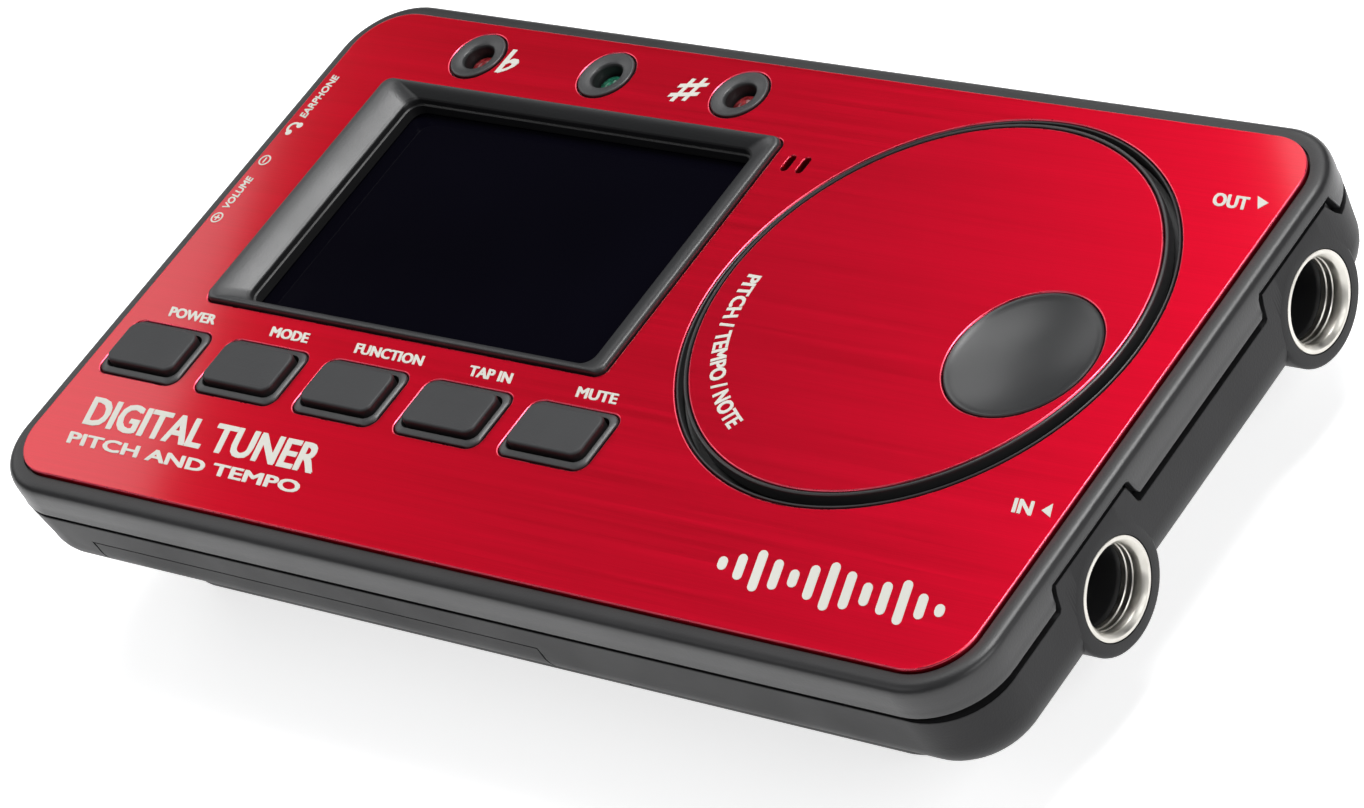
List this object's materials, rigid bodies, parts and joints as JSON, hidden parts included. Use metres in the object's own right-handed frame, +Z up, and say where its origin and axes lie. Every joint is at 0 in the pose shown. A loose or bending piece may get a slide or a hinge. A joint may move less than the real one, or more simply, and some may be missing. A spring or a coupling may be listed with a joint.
{
  "type": "pocket instrument tuner and metronome",
  "caption": "Flat pocket tuner and metronome: red metal face, screen, row of keys, jog dial, side jack sockets, folding stand and sliding battery door.",
  "frame": {"origin": "middle of the footprint, at the flat face that the tuner lies on", "axes": "+X along the length towards the jack sockets, +Y from the keys towards the lights, +Z up out of the faceplate"},
  "size_m": [0.1074, 0.0602, 0.0194],
  "materials": {
    "case_plastic": "fine matt moulded grain",
    "red_anodised": "brushed along the length, red anodised",
    "black_plastic": "satin",
    "window_acrylic": "polished dark tint",
    "display_glass": "polished",
    "white_diffuser": "matt",
    "connector_rubber": "matt silicone with conductive layers",
    "dial_plastic": "satin",
    "steel": "plain",
    "nickel": "bright nickel plate",
    "key_rubber": "matt silicone",
    "led_red": "clear tinted, unlit",
    "led_green": "clear tinted, unlit",
    "battery_wrap": "printed film sleeve, plain bands",
    "board_green": "solder mask over copper",
    "chip_plastic": "matt moulded epoxy",
    "capacitor_sleeve": "shrink sleeve",
    "speaker_metal": "satin"
  },
  "bodies": {
    "case": {"front_case": "case_plastic", "faceplate": "red_anodised", "rear_case": "case_plastic", "display_frame": "black_plastic", "display_window": "window_acrylic", "display_panel": "display_glass", "display_backlight": "white_diffuser", "display_connector": "connector_rubber", "encoder_body": "black_plastic", "power_switch": "steel", "mode_switch": "steel", "function_switch": "steel", "tap_switch": "steel", "mute_switch": "steel", "flat_led": "led_red", "in_tune_led": "led_green", "sharp_led": "led_red", "microphone": "steel", "input_jack_bushing": "nickel", "output_jack_bushing": "nickel", "input_jack_body": "black_plastic", "output_jack_body": "black_plastic", "input_jack_spring": "steel", "output_jack_spring": "steel", "earphone_jack_body": "black_plastic", "earphone_jack_sleeve": "nickel", "volume_body": "black_plastic", "battery_1": "battery_wrap", "battery_2": "battery_wrap", "battery_bridge_contact": "nickel", "battery_positive_contact": "nickel", "battery_negative_contact": "nickel", "main_board": "board_green", "processor_chip": "chip_plastic", "amplifier_chip": "chip_plastic", "power_capacitor": "capacitor_sleeve", "speaker": "speaker_metal", "case_screw_1": "steel", "case_screw_2": "steel", "case_screw_3": "steel", "case_screw_4": "steel", "board_screw_1": "steel", "board_screw_2": "steel", "board_screw_3": "steel", "board_screw_4": "steel"},
    "dial": {"dial_wheel": "dial_plastic", "dial_inlay": "red_anodised", "encoder_shaft": "steel"},
    "power_button": {"power_key": "key_rubber"},
    "mode_button": {"mode_key": "key_rubber"},
    "function_button": {"function_key": "key_rubber"},
    "tap_button": {"tap_key": "key_rubber"},
    "mute_button": {"mute_key": "key_rubber"},
    "volume_control": {"volume_wheel": "dial_plastic", "volume_shaft": "steel"},
    "stand": {"kickstand": "case_plastic"},
    "door": {"battery_door": "case_plastic"}
  },
  "joints": [
    {"name": "dial_turn", "type": "hinge", "parent": "case", "child": "dial", "pos_m": [0.0272, 0.00528, 0.0185], "axis": [0, 0, 1], "continuous": true},
    {"name": "power_press", "type": "slide", "parent": "case", "child": "power_button", "axis": [0, 0, -1], "range_m": [0, 0.0008], "stiffness_N_per_m": 600},
    {"name": "mode_press", "type": "slide", "parent": "case", "child": "mode_button", "axis": [0, 0, -1], "range_m": [0, 0.0008], "stiffness_N_per_m": 600},
    {"name": "function_press", "type": "slide", "parent": "case", "child": "function_button", "axis": [0, 0, -1], "range_m": [0, 0.0008], "stiffness_N_per_m": 600},
    {"name": "tap_press", "type": "slide", "parent": "case", "child": "tap_button", "axis": [0, 0, -1], "range_m": [0, 0.0008], "stiffness_N_per_m": 600},
    {"name": "mute_press", "type": "slide", "parent": "case", "child": "mute_button", "axis": [0, 0, -1], "range_m": [0, 0.0008], "stiffness_N_per_m": 600},
    {"name": "volume_turn", "type": "hinge", "parent": "case", "child": "volume_control", "pos_m": [-0.0482, 0.00532, 0.0145], "axis": [0, 0, 1], "range_deg": [-140, 140]},
    {"name": "stand_fold", "type": "hinge", "parent": "case", "child": "stand", "pos_m": [0.00045, 0.00583, 0.00105], "axis": [-1, 0, 0], "range_deg": [0, 90]},
    {"name": "door_slide", "type": "slide", "parent": "case", "child": "door", "axis": [0, -1, 0], "range_m": [0, 0.034]}
  ]
}
